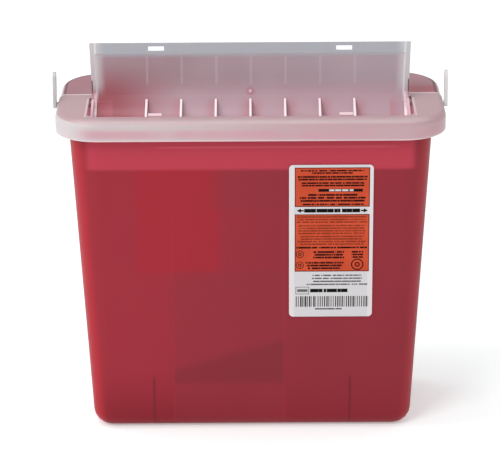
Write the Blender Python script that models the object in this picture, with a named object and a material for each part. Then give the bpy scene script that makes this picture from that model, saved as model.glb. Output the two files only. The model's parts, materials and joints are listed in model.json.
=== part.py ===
"""Wall-type sharps container with a swing-down drop door, as an assembly of six pieces.

Metres, +Z up.  X runs along the width, the front faces -Y, and the origin is the middle of the
footprint on the floor.  The lid snaps over the bin, the door hangs in the lid on two lever pins,
and the whole model follows from the sizes below.
"""
from math import acos, asin, atan2, cos, floor, pi, radians, sin, sqrt

import bmesh
import bpy
from mathutils import Matrix, Vector

MM = 0.001

# ---------------------------------------------------------------- driving dimensions
# Lid
LID_WIDTH = 273.0 * MM
LID_DEPTH = 120.6 * MM
LID_TOP = 238.7 * MM            # height of the front deck above the floor
LID_CORNER = 30.0 * MM          # plan radius of the skirt
LID_EDGE = 5.0 * MM             # radius between skirt and deck
LID_WALL = 1.6 * MM
SKIRT_HEIGHT = 13.9 * MM
REAR_STEP = 0.7 * MM            # the rear deck lies this much lower, and its sides further in
SHOULDER_WIDTH = 22.7 * MM      # deck left and right of the mouth
FRONT_STRIP = 13.1 * MM         # deck in front of the mouth
MOUTH_CORNER = 7.5 * MM         # at least this; rounder where the bin's corner needs it
CHUTE_DEPTH = 37.8 * MM         # from the deck's top down to the chute's lower edge
CHUTE_WALL = 1.3 * MM

# Bin
BASE_WIDTH = 229.2 * MM
BASE_DEPTH = 90.8 * MM
BASE_CORNER = 14.0 * MM
BASE_EDGE = 11.0 * MM           # radius between floor and walls
BIN_WALL = 1.5 * MM
BIN_FLOOR = 2.0 * MM
SKIRT_OVERHANG = 9.05 * MM      # from the bin's wall at the rim out to the skirt
FLANGE_REACH = 5.2 * MM
FLANGE_THICK = 2.4 * MM
RIB_HEIGHT = 42.4 * MM          # stacking ribs, inside the long walls
RIB_OFFSET = 70.5 * MM
RIB_THICK = 1.4 * MM
RIB_DEPTH = 2.6 * MM

# Drop door
DOOR_HEIGHT = 43.4 * MM         # from the pivot axis to the flap's top edge
DOOR_WALL = 1.4 * MM
DOOR_LEAN = radians(9.5)        # the open flap leans back this far
AXIS_DROP = 3.5 * MM            # from the deck's top down to the pivot axis
BEND_HEIGHT = 13.0 * MM         # where the flat flap turns into the scoop
SCOOP_RADIUS = 24.0 * MM
LIP_ROUNDING = 0.5 * MM         # the lip's corners are rounder than the mouth's by this much
BORDER = 3.7 * MM               # flat border down both sides of the flap
FLAP_FLARE = 1.3 * MM           # the flap's top is wider than its bend, by this on each side
STRIP_HEIGHT = 7.5 * MM         # flat strip along the flap's top
PANEL_RECESS = 0.7 * MM
FIN_PITCH = 24.4 * MM
FIN_THICK = 1.5 * MM
FIN_TOP = 5.0 * MM              # height of the gussets' upper ends above the axis
END_PLATE = 1.6 * MM
BACK_RIB_DEPTH = 1.6 * MM
BACK_RIB_THICK = 1.2 * MM
GATE_RADIUS = 1.3 * MM
GATE_HEIGHT = 9.0 * MM
SLOT_WIDTH = 11.2 * MM
SLOT_HEIGHT = 3.2 * MM
SLOT_DROP = 4.0 * MM            # slot's middle below the flap's top edge
LATCH_OFFSET = 66.2 * MM        # slots and tabs, left and right of the middle

# Levers
PIN_RADIUS = 1.9 * MM
KEY_WIDTH = 2.7 * MM            # the pin's square end
KEY_LENGTH = 8.2 * MM
BOSS_RADIUS = 3.6 * MM
LEVER_LENGTH = 23.5 * MM
LEVER_THICK = 2.2 * MM
LEVER_FOOT = 5.4 * MM
LEVER_TIP = 9.0 * MM

# Label
LABEL_WIDTH = 59.0 * MM
LABEL_HEIGHT = 115.6 * MM
LABEL_CORNER = 3.0 * MM
LABEL_THICK = 0.3 * MM
LABEL_X = 56.1 * MM
LABEL_DROP = 92.3 * MM          # from the deck's top down to the label's middle

# Clearances
TOUCH = 0.3 * MM                # between pieces that rest on each other
PIN_PLAY = 0.4 * MM             # all round a pin in the lid
KEY_PLAY = 0.3 * MM             # all round the square key in the door
SIDE_PLAY = 1.8 * MM            # between the door's ends and the chute
LIP_PLAY = 3.2 * MM             # between the scoop's lip and the chute's front wall
REAR_PLAY = 0.6 * MM            # behind the scoop when it hangs down
LEVER_PLAY = 0.5 * MM           # between lever and skirt
RIM_PLAY = 1.0 * MM             # between the bin's rim and the pins above it
HEEL_PLAY = 1.7 * MM            # from the axis back to the mouth's rear edge

PROUD = 0.1 * MM                # a joined part ends this much beyond the one it sits on

CORNER_STEPS = 9
EDGE_STEPS = 5
ARC_STEPS = 12
LIP_STEPS = 5
FIN_STEPS = 8

# ---------------------------------------------------------------- sizes that follow
LID_X = LID_WIDTH / 2
LID_Y = LID_DEPTH / 2
SKIRT_BOTTOM = LID_TOP - SKIRT_HEIGHT
REAR_TOP = LID_TOP - REAR_STEP
DECK_UNDERSIDE = REAR_TOP - LID_WALL

RIM_X = LID_X - SKIRT_OVERHANG
RIM_Y = LID_Y - SKIRT_OVERHANG
RIM_CORNER = LID_CORNER - SKIRT_OVERHANG
AXIS_Z = LID_TOP - AXIS_DROP
RIM_TOP = AXIS_Z - PIN_RADIUS - RIM_PLAY
WALL_DRAFT_Y = (RIM_Y - BASE_DEPTH / 2) / RIM_TOP
CHUTE_BOTTOM = LID_TOP - CHUTE_DEPTH


def bin_size(z):
    """Half width, half depth and corner of the bin's outside at a height."""
    share = z / RIM_TOP
    x = BASE_WIDTH / 2 + share * (RIM_X - BASE_WIDTH / 2)
    y = BASE_DEPTH / 2 + share * (RIM_Y - BASE_DEPTH / 2)
    corner = BASE_CORNER + share * (RIM_CORNER - BASE_CORNER)
    return x, y, corner


def mouth_corner():
    """The mouth's corner radius, so that the chute's corners stay inside those of the bin."""
    x, y, corner = [size - BIN_WALL for size in bin_size(CHUTE_BOTTOM)]
    gap_x = x - MOUTH_X - CHUTE_WALL
    gap_y = y + MOUTH_FRONT - CHUTE_WALL
    spare = gap_x + gap_y - TOUCH
    most = spare + sqrt(max(spare ** 2 - gap_x ** 2 - gap_y ** 2 + TOUCH ** 2, 0.0))
    return max(MOUTH_CORNER, corner - most - CHUTE_WALL)


MOUTH_X = LID_X - SHOULDER_WIDTH
MOUTH_FRONT = -LID_Y + FRONT_STRIP
CHUTE_CORNER = mouth_corner()
LATCH_REACH = DOOR_HEIGHT - SLOT_DROP
AXIS_Y = MOUTH_FRONT + LATCH_REACH - 0.2 * MM
MOUTH_REAR = AXIS_Y + HEEL_PLAY

DOOR_X = MOUTH_X - SIDE_PLAY
LIP_REACH = AXIS_Y - MOUTH_FRONT - LIP_PLAY
LIP_CORNER = CHUTE_CORNER + LIP_ROUNDING
LIP_START = LIP_REACH - LIP_CORNER
PANEL_FACE = DOOR_WALL / 2 - PANEL_RECESS
SCOOP_CENTRE = PANEL_FACE + SCOOP_RADIUS
SCOOP_TURN = acos(max((SCOOP_CENTRE - LIP_START) / SCOOP_RADIUS, 0.0))
SCOOP_FLOOR = BEND_HEIGHT - SCOOP_RADIUS * sin(SCOOP_TURN)
CHUTE_REAR = AXIS_Y - SCOOP_FLOOR + DOOR_WALL + REAR_PLAY
STEP_Y = CHUTE_REAR

LEVER_X = LID_X + LEVER_PLAY
BORE_RADIUS = PIN_RADIUS + PIN_PLAY


# ---------------------------------------------------------------- tools
def clear_scene():
    for item in list(bpy.data.objects):
        bpy.data.objects.remove(item, do_unlink=True)


def finish(name):
    """A Principled material for one piece: colour, roughness and metallic."""
    colours = {
        "bin": ((0.45, 0.03, 0.05), 0.35),
        "lid": ((0.80, 0.72, 0.72), 0.42),
        "drop_door": ((0.78, 0.70, 0.72), 0.42),
        "lever": ((0.86, 0.86, 0.86), 0.40),
        "label": ((0.90, 0.90, 0.90), 0.55),
    }
    colour, roughness = colours[name]
    material = bpy.data.materials.new(name + "_finish")
    material.use_nodes = True
    shader = material.node_tree.nodes["Principled BSDF"]
    shader.inputs["Base Color"].default_value = (*colour, 1.0)
    shader.inputs["Roughness"].default_value = roughness
    shader.inputs["Metallic"].default_value = 0.0
    return material


def to_object(bm, name, material=None):
    """Turn a bmesh into an object whose faces point outwards."""
    bmesh.ops.recalc_face_normals(bm, faces=bm.faces)
    mesh = bpy.data.meshes.new(name)
    bm.to_mesh(mesh)
    bm.free()
    mesh.shade_smooth()
    mesh.set_sharp_from_angle(angle=radians(35))
    piece = bpy.data.objects.new(name, mesh)
    bpy.context.scene.collection.objects.link(piece)
    if material is not None:
        mesh.materials.append(material)
    return piece


def as_tool(piece):
    """Mark an object as a cutter or a filler, which isn't a piece of the container."""
    piece.hide_render = True
    piece.display_type = "WIRE"
    return piece


def boolean(piece, tool, operation):
    step = piece.modifiers.new(operation.lower() + "_" + tool.name, "BOOLEAN")
    step.operation = operation
    step.solver = "EXACT"
    step.object = as_tool(tool)


def hang(piece, pivot):
    """Parent a piece, and all the tools that shape it, to the pivot."""
    piece.parent = pivot
    for step in piece.modifiers:
        hang(step.object, pivot)


def plan_loop(bm, x, front, rear, front_corner, rear_corner, z):
    """One ring of vertices: a rectangle symmetric in X, with round corners."""
    corners = (
        (x - rear_corner, rear - rear_corner, rear_corner, 0.0),
        (-x + rear_corner, rear - rear_corner, rear_corner, 0.5 * pi),
        (-x + front_corner, front + front_corner, front_corner, pi),
        (x - front_corner, front + front_corner, front_corner, 1.5 * pi),
    )
    ring = []
    for centre_x, centre_y, radius, start in corners:
        for step in range(CORNER_STEPS + 1):
            turn = start + 0.5 * pi * step / CORNER_STEPS
            place = (centre_x + radius * cos(turn), centre_y + radius * sin(turn), z)
            ring.append(bm.verts.new(place))
    return ring


def even_loop(bm, x, y, corner, z):
    """A ring that is centred on the origin, with equal corners."""
    return plan_loop(bm, x, -y, y, corner, corner, z)


def skin(bm, rings, closed=False):
    """Faces between neighbouring rings, with a cap on each end or a join from last to first."""
    count = len(rings[0])
    pairs = list(zip(rings, rings[1:]))
    if closed:
        pairs.append((rings[-1], rings[0]))
    for lower, upper in pairs:
        for i in range(count):
            j = (i + 1) % count
            bm.faces.new((lower[i], lower[j], upper[j], upper[i]))
    if not closed:
        bm.faces.new(list(reversed(rings[0])))
        bm.faces.new(rings[-1])


def block(bm, low, high):
    """A box between two corners."""
    size = [b - a for a, b in zip(low, high)]
    middle = [(a + b) / 2 for a, b in zip(low, high)]
    place = Matrix.Translation(middle) @ Matrix.Diagonal((*size, 1.0))
    bmesh.ops.create_cube(bm, size=1.0, matrix=place)


def prism(bm, outline, low_x, high_x):
    """An outline in (y, z), extruded along X."""
    near = bm.faces.new([bm.verts.new((low_x, y, z)) for y, z in outline])
    grown = bmesh.ops.extrude_face_region(bm, geom=[near])
    moved = [item for item in grown["geom"] if isinstance(item, bmesh.types.BMVert)]
    bmesh.ops.translate(bm, verts=moved, vec=(high_x - low_x, 0.0, 0.0))


def rod(bm, centre, radius, low_x, high_x, sides=24):
    """A round bar along X."""
    middle = Vector(((low_x + high_x) / 2, centre[0], centre[1]))
    place = Matrix.Translation(middle) @ Matrix.Rotation(0.5 * pi, 4, "Y")
    bmesh.ops.create_cone(
        bm, cap_ends=True, segments=sides, radius1=radius, radius2=radius,
        depth=abs(high_x - low_x), matrix=place)


def edge_rings(bm, ring_at, radius, top):
    """Rings round an upper edge: ring_at(inset, z) makes one ring."""
    rings = []
    for step in range(EDGE_STEPS + 1):
        turn = 0.5 * pi * step / EDGE_STEPS
        rings.append(ring_at(radius * (1 - cos(turn)), top - radius * (1 - sin(turn))))
    return rings


# ---------------------------------------------------------------- bin
def bin_ring(bm, z, inset):
    x, y, corner = bin_size(z)
    return even_loop(bm, x - inset, y - inset, corner - inset, z)


def rib_outline():
    """A stacking rib in (y, z): rooted in the middle of the wall, from the floor's edge upwards."""
    root = BASE_DEPTH / 2 - BIN_WALL / 2
    middle_radius = BASE_EDGE - BIN_WALL / 2
    outline = []
    for step in range(EDGE_STEPS + 1):
        turn = 0.5 * pi * step / EDGE_STEPS
        outline.append((root - middle_radius * (1 - sin(turn)), BASE_EDGE - middle_radius * cos(turn)))
    head = root + WALL_DRAFT_Y * RIB_HEIGHT
    outline.append((head, RIB_HEIGHT))
    outline.append((head - RIB_DEPTH, RIB_HEIGHT - RIB_DEPTH))
    outline.append((root - RIB_DEPTH, BASE_EDGE))
    outline.append((root - middle_radius, BIN_FLOOR + BIN_WALL))
    return outline


def make_bin():
    bm = bmesh.new()
    rings = []
    for step in range(EDGE_STEPS + 1):
        turn = 0.5 * pi * step / EDGE_STEPS
        rings.append(bin_ring(bm, BASE_EDGE * (1 - cos(turn)), BASE_EDGE * (1 - sin(turn))))
    flange_bottom = RIM_TOP - FLANGE_THICK
    rings.append(bin_ring(bm, flange_bottom, 0.0))
    rings.append(bin_ring(bm, flange_bottom, -FLANGE_REACH))
    rings.append(bin_ring(bm, RIM_TOP, -FLANGE_REACH))
    rings.append(bin_ring(bm, RIM_TOP, BIN_WALL))
    inner_edge = BASE_EDGE - BIN_WALL
    for step in range(EDGE_STEPS + 1):
        turn = 0.5 * pi * (1 - step / EDGE_STEPS)
        height = BIN_FLOOR + inner_edge * (1 - cos(turn))
        rings.append(bin_ring(bm, height, BIN_WALL + inner_edge * (1 - sin(turn))))
    skin(bm, rings)
    container = to_object(bm, "bin", finish("bin"))

    ribs = bmesh.new()
    for face in (-1, 1):
        outline = [(face * y, z) for y, z in rib_outline()]
        for side in (-1, 1):
            middle = side * RIB_OFFSET
            prism(ribs, outline, middle - RIB_THICK / 2, middle + RIB_THICK / 2)
    boolean(container, to_object(ribs, "stacking_ribs"), "UNION")
    return container


# ---------------------------------------------------------------- lid
def lid_block(bm, x, front, rear, corner, edge, bottom, top):
    """A solid lid shape: skirt wall, round edge, flat top."""
    def ring(inset, z):
        return plan_loop(bm, x - inset, front + inset, rear - inset, corner - inset, corner - inset, z)
    rings = [ring(0.0, bottom)]
    rings += edge_rings(bm, ring, edge, top)
    skin(bm, rings)


def make_lid():
    bm = bmesh.new()
    lid_block(bm, LID_X - REAR_STEP, -LID_Y + REAR_STEP, LID_Y, LID_CORNER, LID_EDGE,
              SKIRT_BOTTOM, REAR_TOP)
    lid = to_object(bm, "lid", finish("lid"))

    bm = bmesh.new()
    lid_block(bm, LID_X, -LID_Y, LID_Y, LID_CORNER, LID_EDGE, SKIRT_BOTTOM, LID_TOP)
    front = to_object(bm, "front_cover")
    bm = bmesh.new()
    block(bm, (-LID_WIDTH, -LID_DEPTH, 0.0), (LID_WIDTH, STEP_Y, 2 * LID_TOP))
    boolean(front, to_object(bm, "front_half"), "INTERSECT")
    boolean(lid, front, "UNION")

    bm = bmesh.new()
    inset = REAR_STEP + LID_WALL
    lid_block(bm, LID_X - inset, -LID_Y + inset, LID_Y - LID_WALL, LID_CORNER - LID_WALL,
              LID_EDGE - LID_WALL, SKIRT_BOTTOM - LID_WALL, DECK_UNDERSIDE)
    boolean(lid, to_object(bm, "lid_cavity"), "DIFFERENCE")

    boolean(lid, lid_fillers(), "UNION")
    for cutter in (chute_cutter(), mouth_cutter(), boss_reliefs(), pin_bores()):
        boolean(lid, cutter, "DIFFERENCE")
    boolean(lid, latch_tabs(), "UNION")
    return lid


def lid_fillers():
    """The chute's block, the ring that sits on the bin's flange, and the snap beads."""
    bm = bmesh.new()
    join = DECK_UNDERSIDE + LID_WALL / 2
    wall = CHUTE_WALL
    rings = []
    for z in (CHUTE_BOTTOM, join):
        rings.append(plan_loop(bm, MOUTH_X + wall, MOUTH_FRONT - wall, CHUTE_REAR + wall,
                               CHUTE_CORNER + wall, MOUTH_CORNER + wall, z))
    skin(bm, rings)

    seat_x = RIM_X + FLANGE_REACH / 2
    seat_y = RIM_Y + FLANGE_REACH / 2
    seat_corner = RIM_CORNER + FLANGE_REACH / 2
    rings = []
    for inset, z in ((0.0, RIM_TOP + TOUCH), (0.0, join), (wall, join), (wall, RIM_TOP + TOUCH)):
        rings.append(even_loop(bm, seat_x - inset, seat_y - inset, seat_corner - inset, z))
    skin(bm, rings, closed=True)

    bead_top = RIM_TOP - FLANGE_THICK - TOUCH
    bead_bottom = SKIRT_BOTTOM + TOUCH
    bead_reach = SKIRT_OVERHANG - FLANGE_REACH + 0.5 * MM
    bead_length = 30.0 * MM
    skirt_middle = LID_WALL / 2 + REAR_STEP
    for face in (-1, 1):
        root = LID_Y - skirt_middle
        tip = LID_Y - bead_reach
        outline = ((face * root, bead_bottom), (face * root, bead_top), (face * tip, bead_top))
        for step in (-1, 0, 1):
            middle = step * 2 * bead_length
            prism(bm, outline, middle - bead_length / 2, middle + bead_length / 2)
    return to_object(bm, "lid_fillers")


def chute_cutter():
    """The chute's inside, up to the deck."""
    bm = bmesh.new()
    rings = []
    for z in (CHUTE_BOTTOM - LID_WALL, DECK_UNDERSIDE + TOUCH):
        rings.append(plan_loop(bm, MOUTH_X, MOUTH_FRONT, CHUTE_REAR, CHUTE_CORNER, MOUTH_CORNER, z))
    skin(bm, rings)
    return to_object(bm, "chute_cutter")


def mouth_cutter():
    """The mouth through the deck."""
    bm = bmesh.new()
    rings = []
    for z in (AXIS_Z - BOSS_RADIUS, LID_TOP + LID_WALL):
        rings.append(plan_loop(bm, MOUTH_X, MOUTH_FRONT, MOUTH_REAR, CHUTE_CORNER, 1.0 * MM, z))
    skin(bm, rings)
    return to_object(bm, "mouth_cutter")


def boss_reliefs():
    """Room behind the mouth's rear corners for the door's bosses."""
    bm = bmesh.new()
    length = KEY_LENGTH + 2 * SIDE_PLAY
    for side in (-1, 1):
        ends = sorted((side * (MOUTH_X - 0.05 * MM), side * (DOOR_X - length)))
        block(bm, (ends[0], AXIS_Y - HEEL_PLAY, AXIS_Z - BOSS_RADIUS),
              (ends[1], AXIS_Y + BOSS_RADIUS + PIN_PLAY, LID_TOP + LID_WALL))
    return to_object(bm, "boss_reliefs")


def pin_bores():
    """The pins' bores through chute, seat ring and skirt."""
    bm = bmesh.new()
    for side in (-1, 1):
        rod(bm, (AXIS_Y, AXIS_Z), BORE_RADIUS, side * (MOUTH_X - SIDE_PLAY / 2), side * (LID_X + LID_WALL))
    return to_object(bm, "pin_bores")


def latch_tabs():
    """Two low tabs on the mouth's front edge, which enter the flap's slots when it is shut."""
    bm = bmesh.new()
    tab_width = SLOT_WIDTH - 2 * 0.95 * MM
    tab_height = DOOR_WALL + 2 * TOUCH + 0.2 * MM
    front = MOUTH_FRONT - 0.5 * MM
    for side in (-1, 1):
        middle = side * LATCH_OFFSET
        block(bm, (middle - tab_width / 2, front, DECK_UNDERSIDE - LID_WALL),
              (middle + tab_width / 2, front + 1.2 * MM, LID_TOP + tab_height))
    return to_object(bm, "latch_tabs")


# ---------------------------------------------------------------- drop door
# The door is drawn with the pivot axis at its origin and its flap upright: y is minus the
# distance in front of the axis, z the height above it.  The parent empty leans it back.
def arc_point(radius, turn):
    """A point on a circle round the scoop's centre: (distance in front, height)."""
    return SCOOP_CENTRE - radius * cos(turn), BEND_HEIGHT - radius * sin(turn)


def scoop_profile(rise):
    """(front, back) points of the flap and scoop, top to bottom; rise lifts the front face."""
    pairs = [((PANEL_FACE + rise, DOOR_HEIGHT), (PANEL_FACE - DOOR_WALL, DOOR_HEIGHT))]
    for step in range(ARC_STEPS + 1):
        turn = SCOOP_TURN * step / ARC_STEPS
        pairs.append((arc_point(SCOOP_RADIUS - rise, turn), arc_point(SCOOP_RADIUS + DOOR_WALL, turn)))
    return pairs


def lip_profile():
    """(front, back) points of the lip, whose reach is spaced for its round corners."""
    pairs = []
    start = max(pair[1][0] for pair in scoop_profile(0.0))
    for step in range(1, LIP_STEPS + 1):
        reach = LIP_START + LIP_CORNER * sin(0.5 * pi * step / LIP_STEPS)
        if reach > start + TOUCH:
            pairs.append(((reach, SCOOP_FLOOR), (reach, SCOOP_FLOOR - DOOR_WALL)))
    return pairs


def half_width(reach):
    """Half width of the scoop at a distance in front of the axis: its front corners are round."""
    full = DOOR_X - 2 * PROUD
    past = min(reach - LIP_START, LIP_CORNER)
    if past <= 0:
        return full
    return full - LIP_CORNER + sqrt(LIP_CORNER ** 2 - past ** 2)


def fin_outline():
    """A gusset between flap and scoop; its outer edge runs straight from flap to lip."""
    start = asin((BEND_HEIGHT - FIN_TOP) / SCOOP_RADIUS)
    outline = []
    for step in range(FIN_STEPS + 1):
        turn = start + (SCOOP_TURN - start) * step / FIN_STEPS
        reach, height = arc_point(SCOOP_RADIUS + DOOR_WALL / 2, turn)
        outline.append((-reach, height))
    end = max(LIP_START, -outline[-1][0] + TOUCH)
    outline.append((-end, SCOOP_FLOOR - DOOR_WALL / 2))
    outline.append((-end, SCOOP_FLOOR + 2 * DOOR_WALL))
    return outline


def flare(height):
    """How far the flap's sides have spread at a height above the axis."""
    return FLAP_FLARE * max(height - BEND_HEIGHT, 0.0) / (DOOR_HEIGHT - BEND_HEIGHT)


def make_door(pivot):
    bm = bmesh.new()
    rings = []
    for face, back in scoop_profile(0.0) + lip_profile():
        half = half_width(face[0]) + flare(face[1])
        ring = []
        for x, point in ((-half, face), (half, face), (half, back), (-half, back)):
            ring.append(bm.verts.new((x, -point[0], point[1])))
        rings.append(ring)
    skin(bm, rings)
    door = to_object(bm, "drop_door", finish("drop_door"))
    boolean(door, door_border(), "UNION")
    boolean(door, door_fins(), "UNION")
    boolean(door, door_cutters(), "DIFFERENCE")
    hang(door, pivot)
    return door


def door_border():
    """The strip along the top and the borders down the sides, which stand proud of the panel."""
    bm = bmesh.new()
    thick = DOOR_WALL / 2
    end = DOOR_X - 1.5 * PROUD
    block(bm, (-end, -thick - PROUD, DOOR_HEIGHT - STRIP_HEIGHT), (end, thick, DOOR_HEIGHT + PROUD))
    sides = bmesh.new()
    for side in (-1, 1):
        rings = []
        for face, back in scoop_profile(PANEL_RECESS):
            middle = ((face[0] + back[0]) / 2, (face[1] + back[1]) / 2)
            spread = flare(face[1] - PROUD)
            inner = side * (DOOR_X - BORDER + spread)
            outer = side * (DOOR_X - PROUD + spread)
            ring = []
            for x, point in ((inner, face), (outer, face), (outer, middle), (inner, middle)):
                ring.append(sides.verts.new((x, -point[0], point[1] - PROUD)))
            rings.append(ring)
        skin(sides, rings)
    strip = to_object(bm, "door_strip")
    boolean(strip, to_object(sides, "door_side_borders"), "UNION")
    return strip


def fin_places():
    """The gussets' X positions: evenly spaced, and clear of the door's ends."""
    each_side = floor((DOOR_X - 1.2 * FIN_PITCH) / FIN_PITCH)
    return [step * FIN_PITCH for step in range(-each_side, each_side + 1)]


def door_fins():
    """Gussets, end plates, bosses, back ribs and the gate mark."""
    bm = bmesh.new()
    outline = fin_outline()
    for x in fin_places():
        prism(bm, outline, x - FIN_THICK / 2, x + FIN_THICK / 2)
    rib_back = DOOR_WALL / 2 + PANEL_RECESS + BACK_RIB_DEPTH
    for x in fin_places():
        block(bm, (x - BACK_RIB_THICK / 2, PANEL_RECESS, BEND_HEIGHT + DOOR_WALL),
              (x + BACK_RIB_THICK / 2, rib_back - DOOR_WALL / 2, DOOR_HEIGHT - STRIP_HEIGHT / 2))
    ends = bmesh.new()
    bosses = bmesh.new()
    for side in (-1, 1):
        span = sorted((side * DOOR_X, side * (DOOR_X - END_PLATE)))
        prism(ends, outline, span[0], span[1])
        rod(bosses, (0.0, 0.0), BOSS_RADIUS, side * (DOOR_X - KEY_LENGTH - SIDE_PLAY), side * DOOR_X)
    gate = bmesh.new()
    bmesh.ops.create_cone(
        gate, cap_ends=True, segments=16, radius1=GATE_RADIUS, radius2=GATE_RADIUS * 0.7,
        depth=2 * MM, matrix=Matrix.Translation((0.0, -GATE_RADIUS * 0.6, GATE_HEIGHT))
        @ Matrix.Rotation(0.5 * pi, 4, "X"))
    fins = to_object(bm, "door_fins")
    for extra, name in ((ends, "end_plates"), (bosses, "bosses"), (gate, "gate_mark")):
        boolean(fins, to_object(extra, name), "UNION")
    return fins


def door_cutters():
    """The latch slots and the square sockets for the lever pins."""
    bm = bmesh.new()
    slot = DOOR_HEIGHT - SLOT_DROP
    socket = KEY_WIDTH / 2 + KEY_PLAY
    for side in (-1, 1):
        middle = side * LATCH_OFFSET
        block(bm, (middle - SLOT_WIDTH / 2, -2 * DOOR_WALL, slot - SLOT_HEIGHT / 2),
              (middle + SLOT_WIDTH / 2, 2 * DOOR_WALL, slot + SLOT_HEIGHT / 2))
        span = sorted((side * (DOOR_X + DOOR_WALL), side * (DOOR_X - KEY_LENGTH - KEY_PLAY)))
        block(bm, (span[0], -socket, -socket), (span[1], socket, socket))
    return to_object(bm, "door_cutters")


# ---------------------------------------------------------------- levers
def make_lever(pivot, name, side):
    """A finger blade outside the skirt, with the pin and square key that carry the door."""
    bm = bmesh.new()
    foot = LEVER_FOOT / 2
    tip = LEVER_TIP / 2
    outline = []
    steps = 8
    for step in range(steps + 1):
        turn = pi + pi * step / steps
        outline.append((foot * cos(turn), foot * sin(turn)))
    for step in range(steps + 1):
        turn = pi * step / steps
        outline.append((tip * cos(turn), LEVER_LENGTH - tip + tip * sin(turn)))
    prism(bm, outline, LEVER_X, LEVER_X + LEVER_THICK)
    pin = bmesh.new()
    rod(pin, (0.0, 0.0), PIN_RADIUS, DOOR_X + KEY_PLAY, LEVER_X + LEVER_THICK / 2)
    key = bmesh.new()
    half = KEY_WIDTH / 2
    block(key, (DOOR_X - KEY_LENGTH, -half, -half), (DOOR_X + SIDE_PLAY, half, half))
    if side < 0:
        for part in (bm, pin, key):
            bmesh.ops.scale(part, vec=(-1.0, 1.0, 1.0), verts=part.verts)
    lever = to_object(bm, name, finish("lever"))
    boolean(lever, to_object(pin, name + "_pin"), "UNION")
    boolean(lever, to_object(key, name + "_key"), "UNION")
    hang(lever, pivot)
    return lever


# ---------------------------------------------------------------- label
def make_label():
    """A thin plate that follows the front wall's draft, with round corners."""
    bm = bmesh.new()
    half_height = LABEL_HEIGHT / 2
    rings = []
    for depth in (0.0, LABEL_THICK):
        rings.append(plan_loop(bm, LABEL_WIDTH / 2, -half_height, half_height,
                               LABEL_CORNER, LABEL_CORNER, depth))
    skin(bm, rings)
    label = to_object(bm, "label", finish("label"))
    middle = LID_TOP - LABEL_DROP
    wall = BASE_DEPTH / 2 + WALL_DRAFT_Y * middle
    lean = atan2(WALL_DRAFT_Y, 1.0)
    label.location = (LABEL_X, -wall - TOUCH * 1.05, middle)
    label.rotation_euler = (0.5 * pi + lean, 0.0, 0.0)
    return label


def main():
    clear_scene()
    pivot = bpy.data.objects.new("door_axis", None)
    bpy.context.scene.collection.objects.link(pivot)
    pivot.location = (0.0, AXIS_Y, AXIS_Z)
    pivot.rotation_euler = (-DOOR_LEAN, 0.0, 0.0)
    make_bin()
    make_lid()
    make_door(pivot)
    make_lever(pivot, "left_lever", -1)
    make_lever(pivot, "right_lever", 1)
    make_label()


main()
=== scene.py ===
# %% [markdown]
# # A wall-type sharps container
#
# The container is five mouldings and a label: a tapered red bin, a milky lid pressed over its rim, a
# drop door that hangs in the lid's mouth, a lever at each end of the door, and an adhesive label on
# the bin's front.  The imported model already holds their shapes, sizes and the hinge.  This script
# gives them the surface of the real thing: eased edges, smooth curves, and plastics that show what
# lies behind them.

# %% Load the frame
import json
from math import radians

import bpy
from mathutils import Matrix, Vector

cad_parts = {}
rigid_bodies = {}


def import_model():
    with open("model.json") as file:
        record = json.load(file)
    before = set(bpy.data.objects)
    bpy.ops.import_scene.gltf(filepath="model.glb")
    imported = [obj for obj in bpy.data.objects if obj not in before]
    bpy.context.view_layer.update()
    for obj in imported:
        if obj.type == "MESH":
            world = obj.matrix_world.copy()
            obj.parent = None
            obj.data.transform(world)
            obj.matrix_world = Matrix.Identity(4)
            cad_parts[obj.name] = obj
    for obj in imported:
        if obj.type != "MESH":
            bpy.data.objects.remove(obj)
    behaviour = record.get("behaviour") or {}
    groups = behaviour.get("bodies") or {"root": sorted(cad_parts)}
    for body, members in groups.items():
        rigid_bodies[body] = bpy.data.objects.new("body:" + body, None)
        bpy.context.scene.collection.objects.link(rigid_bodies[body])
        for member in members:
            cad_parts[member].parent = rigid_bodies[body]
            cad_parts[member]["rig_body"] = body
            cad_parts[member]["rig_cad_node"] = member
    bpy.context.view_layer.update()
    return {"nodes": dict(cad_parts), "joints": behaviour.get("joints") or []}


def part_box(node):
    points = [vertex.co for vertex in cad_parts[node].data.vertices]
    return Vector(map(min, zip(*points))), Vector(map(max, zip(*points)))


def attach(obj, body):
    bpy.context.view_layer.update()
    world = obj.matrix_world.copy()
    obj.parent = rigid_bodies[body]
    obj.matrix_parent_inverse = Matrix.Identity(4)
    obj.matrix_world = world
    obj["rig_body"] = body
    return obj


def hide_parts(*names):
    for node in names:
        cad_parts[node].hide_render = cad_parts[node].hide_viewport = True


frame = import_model()
MM = 0.001
print("CAD nodes:", ", ".join(sorted(frame["nodes"])))

# %% [markdown]
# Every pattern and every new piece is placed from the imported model, so a few measures are read off
# it first. The record gives the hinge, whose axis is where the door's own pattern starts. The
# deck, the mouth and the door's ends follow from those by the sizes they were designed with.

# %% Measures
lid_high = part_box("lid")[1]
label_low, label_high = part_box("label")
hinge = Vector(frame["joints"][0]["pos_m"])

AXIS_DROP = 3.5 * MM
SKIRT_HEIGHT = 13.9 * MM
SHOULDER_WIDTH = 22.7 * MM
SIDE_PLAY = 1.8 * MM
DECK_TOP = hinge.z + AXIS_DROP
SKIRT_BOTTOM = DECK_TOP - SKIRT_HEIGHT
MOUTH_X = lid_high.x - SHOULDER_WIDTH
DOOR_X = MOUTH_X - SIDE_PLAY
print("hinge at", [round(value / MM, 1) for value in hinge], "deck at", round(DECK_TOP / MM, 1))

# %% [markdown]
# Blender's operators act on everything that is selected, and loading the frame leaves its nodes
# selected.  So small helpers clear the selection, pick one piece before each step, and apply its
# modifiers once they are set.


# %% Selection helpers
def select_none():
    """Leave edit mode and select nothing."""
    if bpy.context.mode != "OBJECT":
        bpy.ops.object.mode_set(mode="OBJECT")
    bpy.ops.object.select_all(action="DESELECT")


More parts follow.
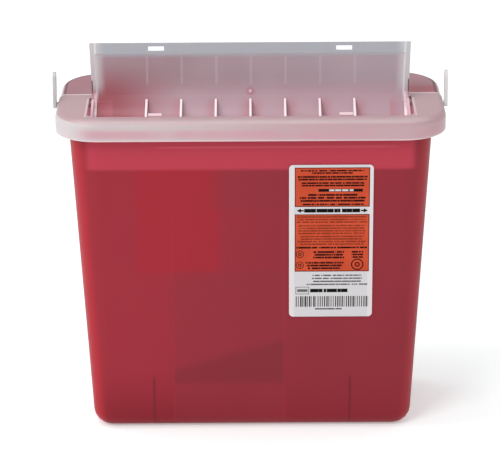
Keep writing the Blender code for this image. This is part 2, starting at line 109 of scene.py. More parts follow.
def pick(piece):
    """Select one object and make it the active one."""
    select_none()
    piece.select_set(True)
    bpy.context.view_layer.objects.active = piece


def apply_all(piece):
    """Apply the modifiers of a piece, first to last."""
    pick(piece)
    for name in [step.name for step in piece.modifiers]:
        bpy.ops.object.modifier_apply(modifier=name)


def triangles(piece):
    """How many triangles the piece's faces make."""
    return sum(len(face.vertices) - 2 for face in piece.data.polygons)


# %% [markdown]
# A moulding never has a knife edge, because the mould is milled with a small radius and the plastic
# shrinks away from it.  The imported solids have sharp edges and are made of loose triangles.  They
# could be modelled again from a box, but their walls, bores and slots already fit each other to a
# third of a millimetre.  So each shell starts as a copy of its node: its points are merged, its flat
# areas are joined into one face, and a Bevel modifier then eases the edges.  Weighted normals keep
# the flat areas flat beside those narrow bevels.


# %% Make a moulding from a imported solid
MERGE_DISTANCE = 0.002 * MM
SMALLEST_EDGE = 0.01 * MM
FLAT_WITHIN = radians(0.6)
SHARP_ABOVE = radians(38)
SMOOTH_BELOW = radians(32)


def moulding(node, name, ease, body):
    """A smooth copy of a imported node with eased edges, in the node's own place."""
    pick(frame["nodes"][node])
    bpy.ops.object.duplicate()
    piece = bpy.context.active_object
    piece.name = name
    piece.data.name = name
    piece.parent = None
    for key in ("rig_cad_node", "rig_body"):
        del piece[key]
    piece.data.materials.clear()

    bpy.ops.object.mode_set(mode="EDIT")
    bpy.ops.mesh.select_all(action="SELECT")
    bpy.ops.mesh.remove_doubles(threshold=MERGE_DISTANCE)
    bpy.ops.mesh.dissolve_degenerate(threshold=SMALLEST_EDGE)
    bpy.ops.mesh.dissolve_limited(angle_limit=FLAT_WITHIN)
    bpy.ops.object.mode_set(mode="OBJECT")

    bevel = piece.modifiers.new("eased_edges", "BEVEL")
    bevel.width = ease
    bevel.segments = 2
    bevel.limit_method = "ANGLE"
    bevel.angle_limit = SHARP_ABOVE
    bevel.use_clamp_overlap = True
    bevel.miter_outer = "MITER_ARC"
    weighted = piece.modifiers.new("flat_faces_stay_flat", "WEIGHTED_NORMAL")
    weighted.keep_sharp = True
    bpy.ops.object.shade_smooth_by_angle(angle=SMOOTH_BELOW)
    apply_all(piece)

    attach(piece, body)
    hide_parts(node)
    print(f"{name}: {triangles(piece)} triangles, rides on {body}")
    return piece


bin_shell = moulding("bin", "bin_shell", 0.25 * MM, "container")
lid_shell = moulding("lid", "lid_shell", 0.25 * MM, "container")
door_shell = moulding("drop_door", "door_shell", 0.20 * MM, "door")
levers = [
    moulding("left_lever", "left_lever_arm", 0.35 * MM, "door"),
    moulding("right_lever", "right_lever_arm", 0.35 * MM, "door"),
]

# %% [markdown]
# The label is a sheet of printed film.  It could be painted on the bin's wall, but a real one is a
# separate sheet whose edge can be felt, so it is modelled: a plane stood up on the front wall, its
# four corners rounded with a vertex bevel, then pushed out to the film's thickness.  The bin tapers,
# so the sheet leans back by the wall's draft.

# %% The label
LABEL_SOLID = 0.3 * MM
LABEL_FILM = 0.25 * MM
LABEL_CORNER = 3.0 * MM
LABEL_EASE = 0.06 * MM
label_size = label_high - label_low
label_middle = (label_low + label_high) / 2
wall_lean = (label_size.y - LABEL_SOLID) / label_size.z

select_none()
bpy.ops.mesh.primitive_plane_add(size=1.0, location=label_middle, rotation=(radians(90), 0, 0))
label_sheet = bpy.context.active_object
label_sheet.name = "label_sheet"
label_sheet.scale = (label_size.x, label_size.z, 1.0)
bpy.ops.object.transform_apply(location=True, rotation=True, scale=True)
bpy.ops.object.mode_set(mode="EDIT")
bpy.ops.mesh.select_all(action="SELECT")
bpy.ops.mesh.bevel(offset=LABEL_CORNER, segments=8, affect="VERTICES")
bpy.ops.mesh.select_all(action="SELECT")
bpy.ops.transform.rotate(value=-wall_lean, orient_axis="X", center_override=label_middle)
bpy.ops.mesh.extrude_region_move(TRANSFORM_OT_translate={"value": (0, -LABEL_FILM, 0)})
bpy.ops.mesh.select_all(action="SELECT")
bpy.ops.mesh.normals_make_consistent(inside=False)
bpy.ops.object.mode_set(mode="OBJECT")
label_edge = label_sheet.modifiers.new("film_edge", "BEVEL")
label_edge.width = LABEL_EASE
label_edge.segments = 2
label_edge.limit_method = "ANGLE"
bpy.ops.object.shade_smooth_by_angle(angle=radians(30))
apply_all(label_sheet)
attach(label_sheet, "container")
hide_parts("label")
print("label:", [round(value / MM, 1) for value in label_size], "leans", round(wall_lean, 4), "rad")

# %% [markdown]
# The finishes are node trees.  They could be wired node by node, but long sums are hard to read as
# wires.  So one small class wraps a shader socket: a Python sum on it adds the Math nodes, and one
# method adds any other node.


# %% A socket that can be reckoned with
class Term:
    """One shader socket.  Sums on it add Math nodes, and node() adds any other node."""

    def __init__(self, socket):
        self.socket = socket

    def node(self, kind, settings=(), values=(), output=0):
        """A new node: its settings are set first, then its sockets' values or links."""
        made = self.socket.id_data.nodes.new(kind)
        for name, value in dict(settings).items():
            setattr(made, name, value)
        for name, value in dict(values).items():
            if isinstance(value, Term):
                made.id_data.links.new(value.socket, made.inputs[name])
            else:
                made.inputs[name].default_value = value
        return Term(made.outputs[output])

    def math(self, operation, first, second=0.0):
        return self.node("ShaderNodeMath", {"operation": operation}, {0: first, 1: second})

    def __add__(self, other):
        return self.math("ADD", self, other)

    def __sub__(self, other):
        return self.math("SUBTRACT", self, other)

    def __rsub__(self, other):
        return self.math("SUBTRACT", other, self)

    def __mul__(self, other):
        return self.math("MULTIPLY", self, other)

    def __truediv__(self, other):
        return self.math("DIVIDE", self, other)

    def __lt__(self, other):
        return self.math("LESS_THAN", self, other)

    def __gt__(self, other):
        return self.math("GREATER_THAN", self, other)

    def __abs__(self):
        return self.math("ABSOLUTE", self)

    __radd__ = __add__
    __rmul__ = __mul__

    def feed(self, shader, socket):
        """Link this value to one of a shader's sockets."""
        self.socket.id_data.links.new(self.socket, shader.inputs[socket])


# %% [markdown]
# A finish is a plain colour with other tones laid over it.  Each tone needs a mask that goes from 0
# to 1: a soft step along one direction, or a band between two steps.  Noise makes the broad, cloudy
# changes that flowing plastic leaves, and the fine grain of the mould.


# %% Masks, tones and noise
def rise(value, low, high):
    """0 below low, 1 above high, and smooth between them."""
    return value.node("ShaderNodeMapRange", {"interpolation_type": "SMOOTHSTEP", "clamp": False},
                      {0: value, 1: low, 2: high, 3: 0.0, 4: 1.0})


def band(value, low, high, soft):
    """1 between low and high, with soft edges."""
    entered = rise(value, low - soft / 2, low + soft / 2)
    left = rise(value, high - soft / 2, high + soft / 2)
    return entered * (1 - left)


def rise_straight(value, low, high):
    """0 below low, 1 above high, and a straight ramp between them."""
    return value.node("ShaderNodeMapRange", {}, {0: value, 1: low, 2: high, 3: 0.0, 4: 1.0})


def patch(x, z, x_range, z_range, soft):
    """A soft rectangle in two directions."""
    return band(x, *x_range, soft) * band(z, *z_range, soft)


def lay(under, mask, over):
    """A colour laid over another one where the mask is 1."""
    return mask.node("ShaderNodeMix", {"data_type": "RGBA"}, {0: mask, 6: under, 7: over}, output=2)


def noise(place, scale, detail=2.0, roughness=0.5):
    """Cloudy values round 0.5: a high scale makes small clouds."""
    return place.node("ShaderNodeTexNoise", {},
                      {"Vector": place, "Scale": scale, "Detail": detail, "Roughness": roughness})


def screen(red, green, blue):
    """A colour as a screen shows it, 0 to 255, turned into the linear values a shader takes."""
    linear = []
    for value in (red, green, blue):
        share = value / 255
        linear.append(share / 12.92 if share <= 0.04045 else ((share + 0.055) / 1.055) ** 2.4)
    return (*linear, 1.0)


# %% [markdown]
# All the mouldings share one surface: a satin mould texture a few tenths of a millimetre wide, a
# roughness that wanders a little where hands and the mould have polished it, and a soft glow from
# light that enters the plastic and comes out nearby.


# %% Start a material, and its moulded surface
def new_finish(name, **uniform):
    """A Principled material with uniform values, and the piece's own coordinates."""
    material = bpy.data.materials.new(name)
    material.use_nodes = True
    shader = material.node_tree.nodes["Principled BSDF"]
    for socket, value in uniform.items():
        shader.inputs[socket.replace("_", " ")].default_value = value
    place = Term(material.node_tree.nodes.new("ShaderNodeTexCoord").outputs["Object"])
    return material, shader, place


def split(place):
    """The X, Y and Z of a place, as three values."""
    return [place.node("ShaderNodeSeparateXYZ", {}, {0: place}, output=index) for index in range(3)]


def moulded_surface(shader, place, roughness, grain):
    """Roughness that wanders, and a fine mould grain in the bump."""
    wander = noise(place, 45.0, 3.0)
    (roughness - 0.05 + 0.10 * wander).feed(shader, "Roughness")
    fine = noise(place, 1400.0, 2.0)
    broad = noise(place, 60.0, 1.0)
    height = fine * 0.5 + broad * 1.5
    place.node("ShaderNodeBump", {}, {"Strength": grain, "Distance": 0.05 * MM, "Height": height}
               ).feed(shader, "Normal")


# %% [markdown]
# The bin is red and lets some light through.  Seen from outside it is never one red, because light
# and shade behind a wall tint it: paler light and darker shade and shadow inside the bin show as
# large, dim areas with soft edges.  A see-through material would show them too, but it is slow and
# noisy, and it can't be kept as a plain texture.  So the paler areas are painted light and the darker
# ones painted shade and shadow: each a mask with a strength and a tone, to be laid over the red.


# %% Painted light and shade through the front
def painted_light_and_shade_through_front(x, z):
    """A mask, a strength and a tone for each area of painted light and shade seen through the front wall.
    """
    paler_light = band(x, -80 * MM, -22 * MM, 9 * MM) * band(z, 122 * MM, 218 * MM, 5 * MM)
    darker_shade = band(x, -56 * MM, 23 * MM, 2.5 * MM) * band(z, -5 * MM, 124 * MM, 4 * MM)
    wedge_shadow_top = 47 * MM + (x + 56 * MM) * 0.30
    wedge_shadow = band(x, -56 * MM, 24 * MM, 3 * MM) * band(z - wedge_shadow_top, -40 * MM, 0.0, 9 * MM)
    wedge_shadow = wedge_shadow * rise(z, 33 * MM, 39 * MM)
    far_side_shade = rise(x, 18 * MM, 30 * MM) * (1 - rise(z, 53 * MM, 133 * MM))
    upper_shade = band(x, -28 * MM, 26 * MM, 8 * MM) * band(z, 171 * MM, 218 * MM, 5 * MM)
    seen_edge = band(abs(x + 16.5 * MM), 39.0 * MM, 40.2 * MM, 1.0 * MM)
    seen_edge = seen_edge * (1 - rise(z, 153 * MM, 203 * MM))
    return (
        (paler_light, 0.6, screen(156, 28, 42)),
        (darker_shade, 0.35, screen(130, 40, 51)),
        (wedge_shadow, 0.6, screen(118, 34, 44)),
        (far_side_shade, 0.35, screen(124, 33, 43)),
        (upper_shade, 0.35, screen(132, 40, 50)),
        (seen_edge, 0.25, screen(160, 44, 56)),
    )


# %% [markdown]
# The red itself is painted a little darker towards the floor: painted shade.  Over it come
# the painted light and shade from above on the front wall only, then the four stacking ribs inside
# the long walls, the corners, which glow because the wall is seen edge on, and the paler, pinker
# band that the lid's chute makes behind the top of the front wall, with a thin painted glint along it.

# %% Red bin
def red_polypropylene():
    material, shader, place = new_finish(
        "red_polypropylene", Subsurface_Weight=0.10, Subsurface_Scale=0.004, Specular_IOR_Level=0.16)
    x, y, z = split(place)
    front = 1 - rise(y, -44 * MM, -40 * MM)
    colour = lay(screen(146, 36, 49), rise(x, -80 * MM, 60 * MM), screen(134, 36, 48))
    # Painted shade: the red darkens towards the floor.
    colour = lay(screen(128, 26, 38), rise(z, 2 * MM, 50 * MM), colour)
    colour = lay(colour, rise(noise(place, 11.0, 2.0), 0.35, 0.75) * 0.25, screen(150, 40, 50))

    # Painted light and shade seen through the front wall, on the front only.
    for area, strength, tone in painted_light_and_shade_through_front(x, z):
        colour = lay(colour, area * front * strength, tone)
    inner_rib = band(abs(x), 69.6 * MM, 71.4 * MM, 1.0 * MM) * (1 - rise(z, 39 * MM, 43 * MM))
    colour = lay(colour, inner_rib * 0.7, screen(104, 26, 36))

    corner = rise(abs(x) - z * 0.05, 104 * MM, 110 * MM)
    corner_tone = lay(screen(176, 30, 44), rise(x, -90 * MM, 90 * MM), screen(152, 32, 44))
    colour = lay(colour, corner * 0.7, corner_tone)
    chute = band(x, -114 * MM, 114 * MM, 6 * MM) * rise(z, 199 * MM, 202.4 * MM)
    colour = lay(colour, chute * front, screen(174, 54, 70))
    glint = band(x, -64 * MM, 98 * MM, 20 * MM) * band(z, 216.6 * MM, 218.0 * MM, 0.9 * MM)
    colour = lay(colour, glint * front * 0.5, screen(196, 84, 98))
    colour.feed(shader, "Base Color")
    moulded_surface(shader, place, 0.42, 0.25)
    return material


bin_shell.data.materials.append(red_polypropylene())
print("red bin:", len(bin_shell.data.materials[0].node_tree.nodes), "nodes")

# %% [markdown]
# An opaque box would be black inside.  This one is full of red light that has come through its
# walls.  A lamp inside would light the room as well, so the inner faces get a second material with a
# dim red glow of its own.  They are picked by their normals: an inner wall faces the middle of the
# bin, and the inner floor faces up near z = 0.


# %% Lit inside of the bin
def inside_of_bin():
    material, shader, place = new_finish("red_inside", Specular_IOR_Level=0.25, Emission_Strength=0.5)
    z = split(place)[2]
    light = lay(screen(110, 14, 26), rise(z, 0.0, 220 * MM), screen(176, 44, 60))
    cloud = lay(light, rise(noise(place, 14.0, 2.0), 0.3, 0.7) * 0.3, screen(160, 40, 54))
    cloud.feed(shader, "Base Color")
    cloud.feed(shader, "Emission Color")
    moulded_surface(shader, place, 0.42, 0.25)
    return material


bin_shell.data.materials.append(inside_of_bin())
INNER_FLOOR_BELOW = 12 * MM
inner_faces = 0
for face in bin_shell.data.polygons:
    outward = face.normal.x * face.center.x + face.normal.y * face.center.y
    towards_middle = outward < -0.2 * MM
    on_floor = face.normal.z > 0.5 and face.center.z < INNER_FLOOR_BELOW
    if towards_middle or on_floor:
        face.material_index = 1
        inner_faces += 1
print("inner faces of the bin:", inner_faces)

# %% [markdown]
# The lid is the same plastic without the red.  It is milky, so its colour is mostly that of what
# lies under it: a pale, greyish pink over the front of the deck, a darker, redder pink over the back,
# with painted shade, and pink clouds in the skirt where the bin's rim leans against it.  Painted light
# whitens the skirt's left end, a painted highlight runs along the step, and painted shade darkens
# the rear edge.  One long recipe would be hard to follow, so the skirt and the deck each have a
# function.


# %% Skirt and deck of the lid
STEP_Y = 5.0 * MM
MOUTH_FRONT = -47.2 * MM


def skirt_tones(x, z, cloud):
    """The skirt: painted light at its left end, with pink clouds and a pale lower edge."""
    skirt = lay(screen(190, 177, 179), rise(x, -90 * MM, 60 * MM), screen(182, 150, 156))
    cloudy = rise(cloud, 0.38, 0.60)
    pink = band(z, SKIRT_BOTTOM + 2.0 * MM, SKIRT_BOTTOM + 8.0 * MM, 4 * MM) * cloudy
    skirt = lay(skirt, pink * 0.8, screen(192, 142, 154))
    edge = 1 - rise(z, SKIRT_BOTTOM + 0.4 * MM, SKIRT_BOTTOM + 1.6 * MM)
    skirt = lay(skirt, edge * 0.6, screen(214, 190, 194))
    # Painted light: the skirt's left end is whiter.
    left_end_light = 1 - rise(x, -128 * MM, -108 * MM)
    return lay(skirt, left_end_light * 0.8, screen(200, 193, 194))


def deck_tones(colour, x, y, z, cloud):
    """The deck over the skirt's colour: its front strip, its rear half with painted shade, a painted
    highlight on the step, and painted shade on the rear edge.
    """
    deck = rise(z, DECK_TOP - 2.2 * MM, DECK_TOP - 1.2 * MM)
    rear = rise(y, STEP_Y - 0.4 * MM, STEP_Y + 0.4 * MM)
    front_strip = 1 - rise(y, MOUTH_FRONT - 9 * MM, MOUTH_FRONT - 2 * MM)
    colour = lay(colour, deck, lay(screen(181, 150, 155), front_strip, screen(190, 167, 171)))
    # Painted shade: the rear half is darker and redder.
    colour = lay(colour, deck * rear * 0.95, screen(158, 108, 117))
    cloudy = rise(cloud, 0.40, 0.65)
    colour = lay(colour, deck * rear * cloudy * 0.5, screen(170, 128, 136))
    # Painted shade, deepest just behind the step on the right.
    right_side = rise(x, 40 * MM, 116 * MM)
    rear_root_shade = deck * band(y, STEP_Y + 2 * MM, STEP_Y + 18 * MM, 10 * MM) * right_side
    colour = lay(colour, rear_root_shade * 0.85, screen(158, 76, 86))
    # Painted highlight along the ridge of the step.
    ridge_highlight = deck * band(y, STEP_Y - 2.0 * MM, STEP_Y, 0.8 * MM)
    colour = lay(colour, ridge_highlight * 0.8, screen(230, 208, 210))
    # Painted shade: a dark line along the rear edge.
    rear_edge_shade = rear * band(z, DECK_TOP - 1.3 * MM, DECK_TOP - 0.77 * MM, 0.1 * MM)
    colour = lay(colour, rear_edge_shade * 0.8, screen(92, 52, 60))
    latch_tab = rise(z, DECK_TOP + 0.3 * MM, DECK_TOP + 0.9 * MM)
    colour = lay(colour, latch_tab, screen(255, 226, 234))
    along_mouth = band(y, MOUTH_FRONT, -6 * MM, 1 * MM)
    rim = deck * band(abs(x), MOUTH_X + 0.2 * MM, MOUTH_X + 1.6 * MM, 0.5 * MM) * along_mouth
    return lay(colour, rim * 0.6, screen(226, 202, 206)), deck


# %% [markdown]
# The mouth's walls and the chute are lit from outside through the milky plastic.  A dim glow on the
# faces inside the mouth stands for that light.  Beside the door, where the gap is narrow and the red
# bin is close behind, the faces are redder and glow less.

# %% Milky lid
MOUTH_BACK = 6.6 * MM


def milky_lid():
    material, shader, place = new_finish(
        "milky_polypropylene", Subsurface_Weight=0.25, Subsurface_Scale=0.004, Specular_IOR_Level=0.5,
        Emission_Strength=0.6)
    x, y, z = split(place)
    cloud = noise(place, 16.0, 2.0)
    colour, deck = deck_tones(skirt_tones(x, z, cloud), x, y, z, cloud)

    in_mouth = (abs(x) < MOUTH_X + 0.3 * MM) * (y > MOUTH_FRONT - 0.3 * MM) * (y < MOUTH_BACK)
    inside = (1 - deck) * in_mouth
    beside_door = abs(x) > DOOR_X - 0.6 * MM
    depth = lay(screen(228, 206, 212), beside_door, screen(190, 132, 144))
    colour = lay(colour, inside, depth)
    colour.feed(shader, "Base Color")
    glow = lay(screen(184, 148, 156), beside_door, screen(130, 84, 94))
    lay(screen(0, 0, 0), inside, glow).feed(shader, "Emission Color")
    moulded_surface(shader, place, 0.38, 0.30)
    return material


lid_shell.data.materials.append(milky_lid())
print("milky lid:", len(lid_shell.data.materials[0].node_tree.nodes), "nodes")

# %% [markdown]
# The drop door is one milky moulding: a flat flap with borders, and a scoop with gussets.  Its
# colour could be one grey, but thin and thick parts of such a moulding differ clearly.  So it is
# painted in three steps: the panel, with a painted shadow at its lower left; the painted shadow
# beside each gusset, and the marks that the back ribs and the gate leave on it; and the borders,
# which are thicker and therefore whiter, with painted shade along their outer edges low down.


# %% Panel, marks and borders of the door
DOOR_LEAN = radians(9.5)
FIN_PITCH = 24.4 * MM
SCOOP_RADIUS = 24.0 * MM
BEND_HEIGHT = 13.0 * MM
GATE_HEIGHT = 9.0 * MM
FLAP_TOP = 43.4 * MM
FLAP_FLARE = 1.3 * MM


def panel_tones(x, up, cloud):
    """The flap's panel: greyer above, pinker below, and a painted red shadow at the lower left."""
    panel = lay(screen(150, 123, 131), rise(x, -90 * MM, 90 * MM), screen(161, 145, 153))
    colour = lay(screen(176, 148, 158), rise(up, 4 * MM, 22 * MM), panel)
    colour = lay(colour, rise(cloud, 0.4, 0.7) * 0.25, screen(182, 160, 168))
    # Painted shadow at the lower left of the flap.
    lower_left_shadow = (1 - rise(x, -104 * MM, -40 * MM)) * (1 - rise(up, 4 * MM, 32 * MM))
    return lay(colour, lower_left_shadow * 0.95, screen(147, 60, 71))


def moulded_marks(colour, x, up):
    """The painted shadow beside each gusset, the back ribs' pale lines, and the gate mark."""
    pitches = abs(x - 0.5 * MM) / FIN_PITCH
    past_fin = pitches - pitches.math("FLOOR", pitches)
    # Painted shadow beside each gusset.
    fin_shadow = (1 - rise(past_fin, 0.05, 0.45)) * (1 - rise(up, -2 * MM, 7 * MM))
    colour = lay(colour, fin_shadow * 0.4, screen(176, 96, 110))
    near_rib = abs(past_fin - past_fin.math("ROUND", past_fin)) * FIN_PITCH
    rib = (1 - rise(near_rib, 0.5 * MM, 1.1 * MM)) * band(up, 14 * MM, 34.5 * MM, 3 * MM)
    rib = rib * (abs(x) < 80 * MM)
    colour = lay(colour, rib * 0.25, screen(196, 184, 190))
    above_gate = up - GATE_HEIGHT
    from_gate = x.math("SQRT", x * x + above_gate * above_gate)
    halo = 1 - rise(from_gate, 1.6 * MM, 4.5 * MM)
    colour = lay(colour, halo * 0.6, screen(178, 112, 126))
    return lay(colour, 1 - rise(from_gate, 0.9 * MM, 1.5 * MM), screen(220, 190, 198))


def border_tones(colour, up, from_side):
    """The grey strip along the top, the pale borders down the sides, and painted shade along their outer
    edges low down.
    """
    strip = rise(up, 32.0 * MM, 36.6 * MM)
    colour = lay(colour, strip, screen(164, 165, 172))
    strip_foot = band(up, 34.9 * MM, 36.1 * MM, 0.8 * MM)
    colour = lay(colour, strip_foot * 0.35, screen(198, 194, 200))
    side = (1 - rise(from_side, 3.9 * MM, 11 * MM)) * rise(up, 4 * MM, 16 * MM)
    colour = lay(colour, side * 0.85, screen(190, 187, 190))
    side_foot = band(from_side, 3.2 * MM, 4.6 * MM, 0.6 * MM) * rise(up, 0.0, 8 * MM)
    colour = lay(colour, side_foot * 0.6, screen(224, 220, 224))
    # Painted shade along the flap's outer edges, low down.
    outer_edge_shade = (1 - rise(from_side, 0.8 * MM, 1.2 * MM)) * band(up, 2 * MM, 17 * MM, 1.5 * MM)
    return lay(colour, outer_edge_shade * 0.9, screen(74, 52, 60))


# %% [markdown]
# The pattern belongs to the door and is measured in the door's own directions: up the flap and out
# from the hinge.  A Mapping node moves the coordinates to the hinge and turns them by the flap's
# lean, so the pattern stays on the flap as it swings.  Seen edge on, the gussets collect light and
# are nearly white, and the end plates a little less.

# %% Milky drop door
def milky_door():
    material, shader, place = new_finish(
        "milky_door_polypropylene", Subsurface_Weight=0.25, Subsurface_Scale=0.004, Specular_IOR_Level=0.5)
    own = place.node("ShaderNodeMapping", {"vector_type": "TEXTURE"},
                     {0: place, 1: tuple(hinge), 2: (-DOOR_LEAN, 0.0, 0.0)})
    x, out, up = split(own)
    from_side = DOOR_X + rise_straight(up, BEND_HEIGHT, FLAP_TOP) * FLAP_FLARE - abs(x)
    colour = panel_tones(x, up, noise(place, 18.0, 2.0))
    colour = moulded_marks(colour, x, up)
    colour = border_tones(colour, up, from_side)

    below = BEND_HEIGHT - up
    squared = SCOOP_RADIUS ** 2 - below * below
    round_part = below.math("SQRT", squared.math("MAXIMUM", squared, 0.0))
    before_scoop = 0 - out - (SCOOP_RADIUS - round_part)
    stands_out = rise(before_scoop, 0.5 * MM, 1.0 * MM) * (1 - rise(up, 7 * MM, 9 * MM))
    end_plate = 1 - rise(from_side, 1.8 * MM, 2.2 * MM)
    colour = lay(colour, stands_out, lay(screen(250, 232, 236), end_plate, screen(216, 184, 192)))
    colour.feed(shader, "Base Color")
    moulded_surface(shader, place, 0.38, 0.30)
    return material


door_shell.data.materials.append(milky_door())
print("milky door:", len(door_shell.data.materials[0].node_tree.nodes), "nodes")


# %% [markdown]
# The levers are natural, unpigmented plastic: a pale grey-white with a faint warm cloud.  Each could
# have its own finish, but both use one, and painted shade makes the left lever, which is turned from
# the light, a little greyer than the right one.


# %% White levers
def white_lever():
    material, shader, place = new_finish(
        "white_lever_plastic", Subsurface_Weight=0.2, Subsurface_Scale=0.003, Specular_IOR_Level=0.5)
    cloud = noise(place, 90.0, 2.0)
    x = split(place)[0]
    # Painted shade: the left lever greyer, the right one lighter.
    tone = lay(screen(180, 180, 181), rise(x, -60 * MM, 60 * MM), screen(206, 206, 207))
    colour = lay(tone, rise(cloud, 0.35, 0.7) * 0.4, screen(212, 209, 207))
    colour.feed(shader, "Base Color")
    moulded_surface(shader, place, 0.42, 0.30)
    return material


lever_finish = white_lever()
for lever in levers:
    lever.data.materials.append(lever_finish)
print("lever finish:", len(lever_finish.node_tree.nodes), "nodes")

# %% [markdown]
# The label's print could be an image, but masks stay sharp at any distance and need no file.  They
# are drawn in the label's own millimetres, across from its left edge and down from its top edge.  The
# small print is rows of dashes with no letters in them, the bar pattern is random, and the symbols
# are plain rings, so that nothing on it can be read.


# %% Shapes that are printed
BAR_PITCH = 1.55


def small_print(across, down, left, right, top, pitch, rows, ragged, word=1.3, height=0.66):
    """Rows of dashes that stand for lines of words, with uneven ends."""
    line = (down - top) / pitch
    row = line.math("FLOOR", line)
    stroke = band(line - row, (1 - height) / 2, (1 + height) / 2, 0.12)
    length = row.node("ShaderNodeTexWhiteNoise", {"noise_dimensions": "1D"}, {"W": row + left + top})
    half = (right - left) / 2 * (1 - ragged * length)
    ends = abs(across - (left + right) / 2) < half
    along = across.node("ShaderNodeCombineXYZ", {}, {0: across * word, 1: row * 5.3 + top, 2: left})
    words = rise(noise(along, 1.0, 1.0), 0.36, 0.42)
    block = band(down, top, top + rows * pitch, 0.02)
    return stroke * ends * words * block


def ring(across, down, middle, radius, line):
    """A plain printed ring."""
    aside = across - middle[0]
    below = down - middle[1]
    distance = aside.math("SQRT", aside * aside + below * below)
    return band(distance, radius - line, radius, 0.2)


def outline_box(across, down, sides, ends, line):
    """A thin printed frame."""
    inner = patch(across, down, (sides[0] + line, sides[1] - line), (ends[0] + line, ends[1] - line), 0.1)
    return patch(across, down, sides, ends, 0.1) * (1 - inner)


def arrow(across, down, tip, level, towards):
    """A solid arrow head with a short shaft."""
    past = (across - tip) * towards
    head = (abs(down - level) < past * 0.55) * (past < 2.9)
    shaft = band(past, 2.8, 4.9, 0.1) * (abs(down - level) < 0.55)
    return head + shaft


def bar_pattern(across, down, left, right, top, bottom):
    """Upright bars at an even pitch, each of its own width and strength."""
    cell = across / BAR_PITCH
    step = cell.math("FLOOR", cell)
    width = step.node("ShaderNodeTexWhiteNoise", {"noise_dimensions": "1D"}, {"W": step + 8.0})
    strength = step.node("ShaderNodeTexWhiteNoise", {"noise_dimensions": "1D"}, {"W": step + 0.5})
    bars = band(cell - step, 0.1, 0.38 + 0.5 * width, 0.06) * (0.85 + 0.15 * strength)
    return bars * patch(across, down, (left, right), (top, bottom), 0.1)


# %% [markdown]
# The label has four parts, from top to bottom: an orange panel, a white strip between two arrows, a
# second orange panel, and a white foot with the bars.  Ink goes on in the order in which a press
# prints it: the panels first, then the fine dark red, the bold marks, and black and grey last.

# %% Label film
PRINT_DROP = 0.9


def dark_red_print(across, down):
    """The rows of fine print in both panels; the notes in the second one are printed weaker."""
    fine = small_print(across, down, 8.0, 52.5, 4.4, 1.75, 2, 0.45)
    fine += small_print(across, down, 5.0, 56.0, 8.9, 1.95, 2, 0.12)
    fine += small_print(across, down, 5.0, 56.0, 13.6, 1.85, 2, 0.25)
    fine += small_print(across, down, 7.0, 54.0, 22.3, 2.2, 3, 0.35)
    fine += small_print(across, down, 9.0, 52.5, 29.6, 1.8, 1, 0.05)
    notes = small_print(across, down, 5.0, 55.0, 39.0, 1.95, 3, 0.10, height=0.56)
    notes += small_print(across, down, 5.0, 55.0, 45.6, 1.95, 4, 0.15, height=0.56)
    notes += small_print(across, down, 5.0, 55.0, 53.8, 1.95, 4, 0.15, height=0.56)
    fine += notes * 0.62
    fine += small_print(across, down, 16.0, 40.0, 65.6, 2.1, 3, 0.35)
    fine += small_print(across, down, 11.0, 39.0, 73.8, 2.1, 3, 0.35)
    fine += small_print(across, down, 44.0, 52.5, 65.6, 2.0, 3, 0.05)
    return fine


def bold_print(across, down):
    """The dark bar, one bold row, and a ring within a ring for each symbol."""
    bold = patch(across, down, (20.5, 51.5), (18.9, 21.0), 0.3)
    bold += small_print(across, down, 5.0, 55.0, 62.3, 1.9, 1, 0.02, word=0.9)
    bold += ring(across, down, (7.6, 68.3), 2.8, 0.5) + ring(across, down, (7.6, 76.6), 2.8, 0.5)
    bold += ring(across, down, (7.6, 68.3), 1.2, 0.6) + ring(across, down, (7.6, 76.6), 1.2, 0.6)
    bold += ring(across, down, (48.2, 76.2), 4.4, 0.8) + ring(across, down, (48.2, 76.2), 1.8, 0.8)
    return bold


def black_print(across, down):
    """The strip between the panels, and the framed mark, dashes and bars of the foot."""
    black = arrow(across, down, 5.4, 35.2, 1.0) + arrow(across, down, 55.2, 35.2, -1.0)
    black += small_print(across, down, 10.6, 50.0, 33.4, 3.6, 1, 0.0, word=0.75, height=0.78)
    black += outline_box(across, down, (4.7, 14.2), (93.4, 99.0), 0.35)
    black += small_print(across, down, 5.8, 13.2, 94.4, 3.6, 1, 0.0, word=0.6, height=0.6) * 0.8
    black += small_print(across, down, 15.0, 41.5, 94.3, 3.9, 1, 0.0, word=0.55, height=0.7)
    black += bar_pattern(across, down, 4.5, 56.2, 100.6, 108.8)
    return black


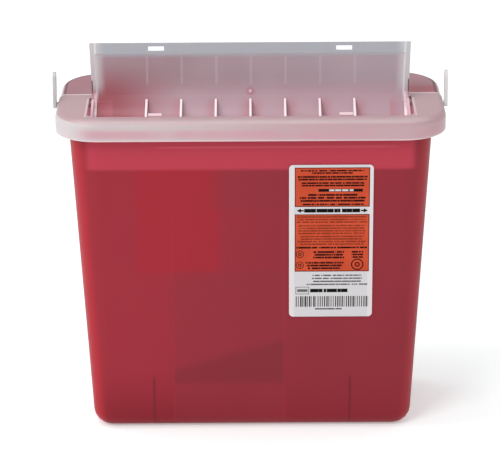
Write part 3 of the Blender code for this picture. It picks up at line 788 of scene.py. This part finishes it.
def printed_film():
    material, shader, place = new_finish("label_film", Specular_IOR_Level=0.05)
    x, _, z = split(place)
    across = (x - label_low.x) / MM
    down = (label_high.z - z) / MM + PRINT_DROP
    margin = rise(abs(across - 29.5), 25.6, 26.2)
    paper = lay(screen(198, 195, 197), margin, screen(212, 203, 204))
    uneven_ink = rise(noise(place, 60.0, 2.0), 0.3, 0.7)
    orange = lay(screen(184, 70, 44), uneven_ink, screen(196, 78, 50))
    panels = patch(across, down, (4.1, 56.4), (3.0, 32.3), 0.25)
    panels += patch(across, down, (4.1, 56.4), (38.0, 81.5), 0.25)
    colour = lay(paper, panels, orange)

    colour = lay(colour, dark_red_print(across, down), screen(40, 8, 7))
    frames = outline_box(across, down, (4.0, 56.5), (2.9, 32.4), 0.7)
    frames += outline_box(across, down, (4.0, 56.5), (37.9, 81.6), 0.7)
    colour = lay(colour, frames * 0.9, screen(86, 26, 22))
    colour = lay(colour, bold_print(across, down), screen(22, 6, 6))
    on_bar = small_print(across, down, 28.0, 45.0, 18.9, 2.1, 1, 0.0, word=0.8)
    colour = lay(colour, on_bar, paper)
    colour = lay(colour, black_print(across, down), screen(6, 6, 6))
    grey = small_print(across, down, 12.0, 56.0, 83.4, 2.3, 4, 0.30, height=0.45)
    grey += small_print(across, down, 18.5, 37.5, 109.6, 1.7, 1, 0.0)
    colour = lay(colour, grey, screen(78, 76, 82))
    colour.feed(shader, "Base Color")
    moulded_surface(shader, place, 0.45, 0.08)
    return material


label_sheet.data.materials.append(printed_film())
print("label film:", len(label_sheet.data.materials[0].node_tree.nodes), "nodes")

# %% [markdown]
# The container stands on a plain pale floor in soft studio light.  A large key lamp stands to the
# front left and a weaker fill lamp to the right.  A small lamp at the left edges the shadow on the
# floor, a wide one overhead softens it, and a bright, even world fills what is left of it.


# %% Floor, world and lights
def pale_floor():
    material, shader, place = new_finish(
        "pale_floor", Specular_IOR_Level=0.1, Roughness=0.9, Emission_Strength=0.28)
    faint_cloud = rise(noise(place, 3.0, 2.0), 0.3, 0.7)
    paint = lay(screen(244, 250, 250), faint_cloud, screen(246, 252, 252))
    paint.feed(shader, "Base Color")
    return material


select_none()
bpy.ops.mesh.primitive_plane_add(size=16.0, location=(0, 0, 0))
floor = bpy.context.active_object
floor.name = "floor"
floor.data.materials.append(pale_floor())

world = bpy.data.worlds.new("studio")
bpy.context.scene.world = world
world.use_nodes = True
background = world.node_tree.nodes["Background"]
background.inputs["Color"].default_value = (1.0, 1.0, 1.0, 1.0)
background.inputs["Strength"].default_value = 0.60


def soft_lamp(name, place, aim_height, size, power):
    """A square lamp that faces a point on the container's middle line."""
    select_none()
    bpy.ops.object.light_add(type="AREA", location=place)
    lamp = bpy.context.active_object
    lamp.name = name
    lamp.data.shape = "SQUARE"
    lamp.data.size = size
    lamp.data.energy = power
    towards = Vector((0.0, 0.0, aim_height)) - Vector(place)
    lamp.rotation_euler = towards.to_track_quat("-Z", "Y").to_euler()
    return lamp


soft_lamp("key_lamp", (-1.2, -1.5, 1.7), aim_height=0.12, size=1.0, power=21.0)
soft_lamp("fill_lamp", (1.4, -1.4, 1.0), aim_height=0.12, size=1.4, power=5.0)
soft_lamp("edge_lamp", (-1.6, -0.2, 1.5), aim_height=0.22, size=0.20, power=3.0)
soft_lamp("top_lamp", (-0.45, 0.1, 1.6), aim_height=0.12, size=0.7, power=6.0)

# %% [markdown]
# The camera is far away with a long lens, as for a catalogue picture, so the bin's upright edges stay
# nearly parallel.  It looks down by about twenty-one degrees, which shows the lid's deck and the
# scoop in the mouth.

# %% Camera
CAMERA_PLACE = Vector((-0.0008, -1.6872, 0.7805))
CAMERA_PITCH = radians(90 - 20.87)
CAMERA_ROLL = radians(-0.33)
CAMERA_LENS = 179.64
bpy.ops.object.camera_add()
camera = bpy.context.active_object
camera.data.sensor_width = 36.0
camera.data.lens = CAMERA_LENS
tilt = Matrix.Rotation(CAMERA_PITCH, 4, "X") @ Matrix.Rotation(CAMERA_ROLL, 4, "Z")
camera.matrix_world = Matrix.Translation(CAMERA_PLACE) @ tilt
bpy.context.scene.camera = camera
bpy.context.scene.view_settings.view_transform = "Standard"
print("camera at", [round(value, 3) for value in camera.location], "lens", camera.data.lens)
